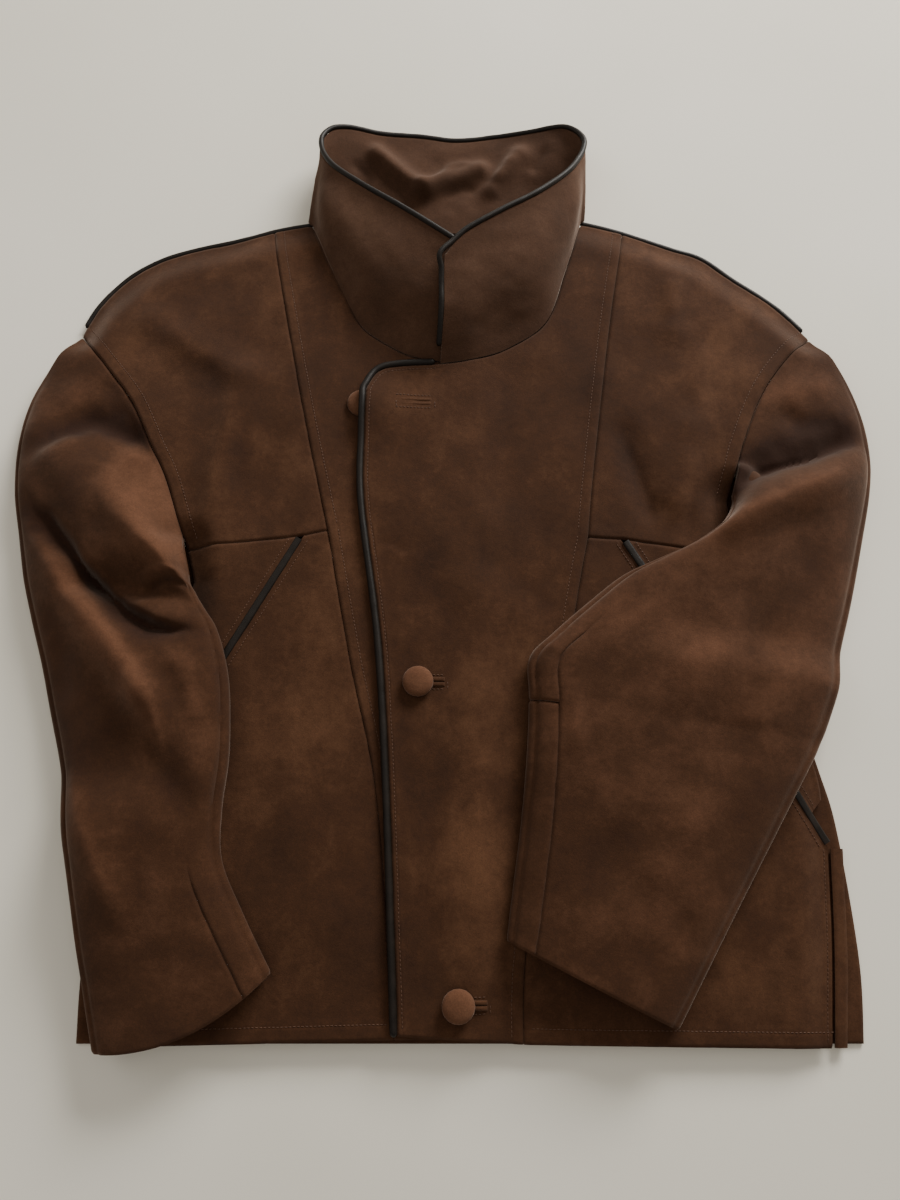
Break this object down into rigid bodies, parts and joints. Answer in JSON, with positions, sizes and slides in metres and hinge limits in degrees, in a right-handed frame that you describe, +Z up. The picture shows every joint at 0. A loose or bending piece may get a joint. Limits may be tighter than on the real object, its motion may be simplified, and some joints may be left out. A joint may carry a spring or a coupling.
{
  "type": "suede jacket",
  "caption": "Suede jacket with stand-up collar, black leather piping and slanted welt pockets, laid flat on its back with its sleeves folded over the front.",
  "frame": {"origin": "on the surface that the jacket lies on, under the middle of the back panel", "axes": "+Z up out of the surface, +Y from the hem to the collar, +X towards the wearer's left sleeve"},
  "size_m": [0.721, 0.7827, 0.0599],
  "materials": {
    "suede": "brushed suede nap, matte",
    "black_leather": "smooth leather, satin"
  },
  "bodies": {
    "root": {"back_panel": "suede", "front_right_center": "suede", "front_right_yoke": "suede", "front_right_pocket_side": "suede", "front_right_lower": "suede", "front_left_center": "suede", "front_left_yoke": "suede", "front_left_pocket_side": "suede", "front_left_lower": "suede", "side_strip_left": "suede", "sleeve_right_top": "suede", "sleeve_right_under": "suede", "sleeve_left_top": "suede", "sleeve_left_gusset": "suede", "sleeve_left_under": "suede", "collar": "suede", "button_top": "suede", "button_middle": "suede", "button_bottom": "suede", "buttonhole_top": "suede", "buttonhole_middle": "suede", "buttonhole_bottom": "suede", "collar_piping": "black_leather", "placket_piping": "black_leather", "shoulder_piping_right": "black_leather", "shoulder_piping_left": "black_leather", "pocket_welt_right": "black_leather", "pocket_welt_left": "black_leather"}
  },
  "joints": []
}
